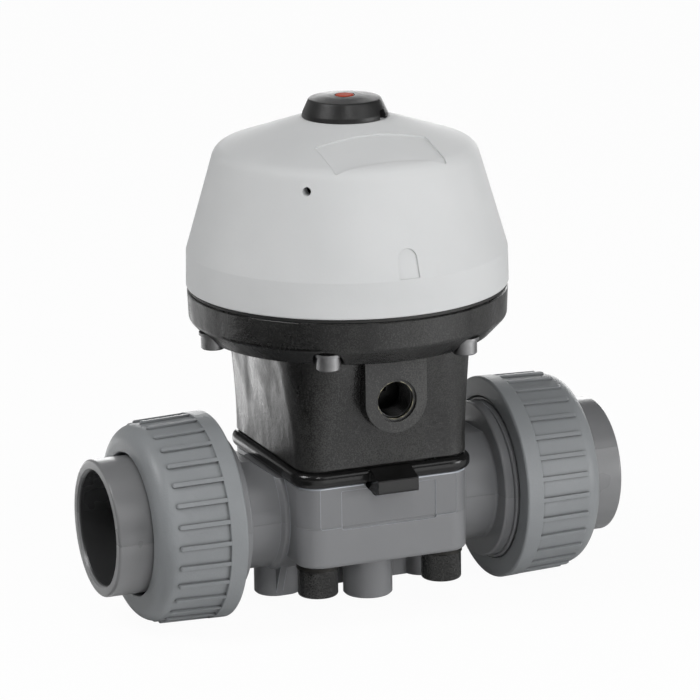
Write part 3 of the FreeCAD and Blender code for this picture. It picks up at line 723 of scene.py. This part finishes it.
# %% [markdown]
# Black plastics and rubber
#
# The base has flow marks, so its shine comes and goes in streaks. The indicator cap and the bolt caps are
# smoother mouldings. The rubber of the diaphragm is nearly black, with a soft gloss on its round bead.

# %% Black plastics and rubber
def glass_filled(name, dark, light, rough, port=False):
    speck_share = 0.4
    grain_middle = 0.6
    speckle_strength = 2.0
    pad_rough = 0.6
    material, tree, shader = shader_of(name, rough[0])
    marks = place_group(tree, flow_marks)
    skin = place_group(tree, moulded_skin, Clouds_per_metre=420.0, Grain_per_metre=2200.0)
    streaks = marks.outputs["Streaks"]
    mottle = product(tree, streaks, spread(tree, skin.outputs["Clouds"], 0.0, 1.0, 0.5, 1.0))
    specks = product(tree, marks.outputs["Specks"], speck_share)
    grain = total(tree, specks, skin.outputs["Grain"])
    speckle = product(tree, difference(tree, grain, grain_middle), speckle_strength)
    haze = total(tree, mottle, speckle)
    colour = two_shades(tree, haze, dark, light)
    gloss = spread(tree, streaks, 0.0, 1.0, *rough)
    height = total(tree, skin.outputs["Grain"], product(tree, skin.outputs["Clouds"], 2.0))
    if port:
        zones = place_group(tree, port_zones)
        pad_colour = two_shades(tree, haze, (0.03, 0.03, 0.03), (0.062, 0.062, 0.06))
        colour = blend_to(tree, zones.outputs["Pad"], colour, pad_colour)
        # The thread inside is painted near black: a painted shade.
        colour = blend_to(tree, zones.outputs["Inside"], colour, (0.0015, 0.0015, 0.0015, 1))
        # The lip's pale line is a painted highlight.
        colour = blend_to(tree, zones.outputs["Lip"], colour, (0.42, 0.39, 0.27, 1))
        pad_gloss = product(tree, zones.outputs["Pad"], pad_rough)
        gloss = math_node(tree, "MAXIMUM", gloss, pad_gloss)
    tree.links.new(colour, shader.inputs["Base Color"])
    tree.links.new(gloss, shader.inputs["Roughness"])
    surface(tree, shader, height, 0.024 * mm, 0.4 * mm)
    return material


finishes["base_black"] = glass_filled(
    "base_black", (0.0035, 0.0035, 0.0034), (0.025, 0.025, 0.0238), (0.25, 0.48), port=True
)
finishes["bolt_cap_black"] = glass_filled(
    "bolt_cap_black", (0.005, 0.005, 0.0048), (0.03, 0.03, 0.0285), (0.14, 0.28)
)
finishes["cap_black"] = moulded(
    "cap_black",
    (0.013, 0.013, 0.013),
    (0.022, 0.022, 0.022),
    (0.36, 0.46),
    clouds=120.0,
    depth=0.02 * mm,
)
finishes["diaphragm_rubber"] = moulded(
    "diaphragm_rubber",
    (0.004, 0.004, 0.004),
    (0.008, 0.008, 0.008),
    (0.15, 0.23),
    clouds=90.0,
    edge=0.5 * mm,
    specular=0.45,
)
finishes["actuator_rubber"] = moulded(
    "actuator_rubber",
    (0.014, 0.014, 0.014),
    (0.022, 0.022, 0.021),
    (0.5, 0.62),
    grain=1600.0,
    depth=0.03 * mm,
)
finishes["seal_rubber"] = moulded(
    "seal_rubber", (0.009, 0.009, 0.009), (0.013, 0.013, 0.013), (0.35, 0.45)
)
finishes["compressor_plastic"] = moulded(
    "compressor_plastic", (0.03, 0.03, 0.032), (0.042, 0.042, 0.045), (0.4, 0.5)
)
finishes["plate_plastic"] = moulded(
    "plate_plastic", (0.05, 0.05, 0.053), (0.065, 0.065, 0.068), (0.4, 0.5)
)
finishes["indicator_red"] = moulded(
    "indicator_red", (0.38, 0.036, 0.01), (0.47, 0.05, 0.014), (0.55, 0.65), specular=0.2
)
print("finishes so far:", len(finishes))

# %% [markdown]
# Metals
#
# The screws, washers and spindle are plated or ground steel, the inserts are brass and the bush is bronze.
# Fine turning marks run round each piece; a noise stretched along X and Y stands for them. The spring wire
# is darker and oily.

# %% Metals
def metal(name, dark, light, rough):
    material, tree, shader = shader_of(name, rough[0], metallic=1.0)
    turned_marks = 2600.0
    stretch = tree.nodes.new("ShaderNodeMapping")
    stretch.inputs["Scale"].default_value = (0.05, 0.05, 1.0)
    tree.links.new(object_place(tree), stretch.inputs["Vector"])
    marks = tree.nodes.new("ShaderNodeTexNoise")
    marks.inputs["Scale"].default_value = turned_marks
    tree.links.new(stretch.outputs[0], marks.inputs["Vector"])
    skin = place_group(tree, moulded_skin, Clouds_per_metre=220.0, Grain_per_metre=2400.0)
    tree.links.new(two_shades(tree, skin.outputs["Clouds"], dark, light), shader.inputs["Base Color"])
    tree.links.new(spread(tree, skin.outputs["Clouds"], 0.0, 1.0, *rough), shader.inputs["Roughness"])
    surface(tree, shader, marks.outputs["Fac"], 0.012 * mm, 0.06 * mm)
    return material


finishes["screw_steel"] = metal("screw_steel", (0.2, 0.2, 0.203), (0.31, 0.31, 0.313), (0.36, 0.48))
finishes["washer_dark"] = metal("washer_dark", (0.035, 0.034, 0.032), (0.06, 0.058, 0.055), (0.42, 0.55))
finishes["spindle_steel"] = metal("spindle_steel", (0.52, 0.52, 0.53), (0.62, 0.62, 0.63), (0.16, 0.24))
finishes["pin_steel"] = metal("pin_steel", (0.5, 0.5, 0.51), (0.6, 0.6, 0.61), (0.2, 0.3))
finishes["spring_steel"] = metal("spring_steel", (0.2, 0.2, 0.21), (0.34, 0.34, 0.35), (0.3, 0.42))
finishes["insert_brass"] = metal("insert_brass", (0.6, 0.42, 0.17), (0.75, 0.55, 0.25), (0.24, 0.36))
finishes["bush_bronze"] = metal("bush_bronze", (0.48, 0.32, 0.15), (0.6, 0.42, 0.2), (0.28, 0.4))
print("all finishes:", len(finishes))

# %% [markdown]
# Dressing the solids
#
# The record says which finish each solid takes. Only the material in the solid's slot changes; its shape
# and place stay as they are.

# %% Dress every solid
for part in frame["record"]["subparts"]:
    solid = nodes[part["node"]]
    solid.data.materials.clear()
    solid.data.materials.append(finishes[part["material_slot"]])

# %% [markdown]
# Pieces that bend
#
# The stem lifts by 10 mm. The two springs shorten as it rises: each flattens towards its seat in the dome.
# The two diaphragms are held at their rims and carried by the stem in the middle, so a point of theirs
# moves with the valve, with the stem, or by a share between, as its distance from the axis says. Here each
# of the four pieces is only swapped for a copy of its own mesh: the springs are attached to the valve, and
# each point of a diaphragm is laid at its radius on the X axis and then put back in its place.


def bending_copy(node):
    piece = bpy.data.objects.new(node + "_bending", nodes[node].data.copy())
    bpy.context.scene.collection.objects.link(piece)
    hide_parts(node)
    return piece


for node in ("outer_spring", "inner_spring"):
    spring = bending_copy(node)
    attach(spring, "valve")
    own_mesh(spring)
for node, finish, held_r, carried_r in (
    ("shutoff_diaphragm", "diaphragm_rubber", 26.5 * mm, 15 * mm),
    ("actuator_diaphragm", "actuator_rubber", 45 * mm, 39.5 * mm),
):
    sheet = bending_copy(node)
    places = [corner.co.copy() for corner in sheet.data.vertices]
    for corner in sheet.data.vertices:
        corner.co = (math.hypot(corner.co.x, corner.co.y), 0, corner.co.z)
    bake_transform(sheet)
    for corner, place in zip(sheet.data.vertices, places):
        corner.co = place
    print(sheet.name, "held from %.1f mm out" % (held_r / mm))

# %% [markdown]
# Threads
#
# The solids leave the threads plain: the body's collars and the nuts have smooth walls with room for a
# thread between them. A thread is one ridge that runs round and forward at once, so its section is drawn
# once and spun about the axis, with a small step along the axis at each step of the spin. Near its two
# ends the crest sinks into the wall, as a real thread runs out.

# %% Thread helper
def finish_piece(name, shape, body, finish):
    doubles_within = 0.001 * mm
    bmesh.ops.remove_doubles(shape, verts=shape.verts, dist=doubles_within)
    bmesh.ops.recalc_face_normals(shape, faces=shape.faces)
    mesh = bpy.data.meshes.new(name)
    shape.to_mesh(mesh)
    shape.free()
    for face in mesh.polygons:
        face.use_smooth = True
    piece = bpy.data.objects.new(name, mesh)
    bpy.context.scene.collection.objects.link(piece)
    mesh.materials.append(finishes[finish])
    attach(piece, body)
    print(name, "faces:", len(mesh.polygons))


def thread_ridge(foot_r, crest_r, start, pitch, length, steps_per_turn=72):
    # The ridge runs along +X about the X axis, with its foot sunk in the wall
    out = 1.0 if crest_r > foot_r else -1.0
    sunk_r = foot_r - out * 0.05 * mm
    run_out_r = foot_r - out * 0.02 * mm
    crest_tolerance = 0.02 * mm
    foot_half = 0.36 * pitch
    crest_half = 0.07 * pitch
    shape = bmesh.new()
    section = [
        shape.verts.new((start - foot_half, 0, sunk_r)),
        shape.verts.new((start - crest_half, 0, crest_r)),
        shape.verts.new((start + crest_half, 0, crest_r)),
        shape.verts.new((start + foot_half, 0, sunk_r)),
    ]
    first = shape.faces.new(section)
    turns = length / pitch
    steps = round(turns * steps_per_turn)
    bmesh.ops.spin(
        shape,
        geom=[first] + list(first.edges) + section,
        cent=(0, 0, 0),
        axis=(1, 0, 0),
        dvec=(length / steps, 0, 0),
        angle=2 * math.pi * turns,
        steps=steps,
        use_duplicate=False,
    )
    # Over the first and the last third of a turn the crest rises out of the wall
    run_out = pitch / 3
    for corner in shape.verts:
        around = math.hypot(corner.co.y, corner.co.z)
        if abs(around - crest_r) < crest_tolerance:
            from_start = corner.co.x - (start - crest_half)
            from_end = start + length + crest_half - corner.co.x
            rise = min(1.0, max(0.0, min(from_start, from_end) / run_out))
            radius = run_out_r + (crest_r - foot_r) * rise
            corner.co.y *= radius / around
            corner.co.z *= radius / around
    return shape


# %% [markdown]
# Each collar of the body carries a thread, and each nut has one inside. The nut's ridge lies half a pitch
# beside the body's, so the two pass freely as the nut turns off. Both are made for the right side, and a
# half turn about the upright axis gives those of the left.

# %% Union threads
def lay_out(shape, turn_round, lift):
    bmesh.ops.rotate(shape, verts=shape.verts, cent=(0, 0, 0), matrix=turn_round)
    bmesh.ops.translate(shape, verts=shape.verts, vec=lift)


thread_length = collar_end_x - collar_start_x
nut_wall_r = 29.5 * mm
nut_start_x = collar_start_x + 1.5 * thread_pitch
to_pipe_axis = Vector((0, 0, pipe_z))
for side, angle in (("right", 0.0), ("left", math.pi)):
    turn_round = Matrix.Rotation(angle, 3, "Z")
    body_ridge = thread_ridge(
        thread_core_r, thread_core_r + thread_high, collar_start_x, thread_pitch, thread_length
    )
    lay_out(body_ridge, turn_round, to_pipe_axis)
    finish_piece("body_thread_" + side, body_ridge, "valve", "body_grey")
    nut_ridge = thread_ridge(
        nut_wall_r, nut_wall_r - thread_high, nut_start_x, thread_pitch, thread_length
    )
    lay_out(nut_ridge, turn_round, to_pipe_axis)
    finish_piece("nut_thread_" + side, nut_ridge, side + "_nut", "nut_grey")

# %% [markdown]
# The air port has a fine thread of its own. The same ridge is made about X, turned to run along Y and
# moved into the port.

# %% Air port thread
port_thread_high = 0.8 * mm
port_thread_from = 1.6 * mm
port_thread_long = 11.2 * mm
port_ridge = thread_ridge(
    port_crest_r, port_crest_r - port_thread_high, port_thread_from, port_pitch, port_thread_long, 48
)
lay_out(port_ridge, Matrix.Rotation(math.pi / 2, 3, "Z"), port_centre)
finish_piece("air_port_thread", port_ridge, "valve", "base_black")
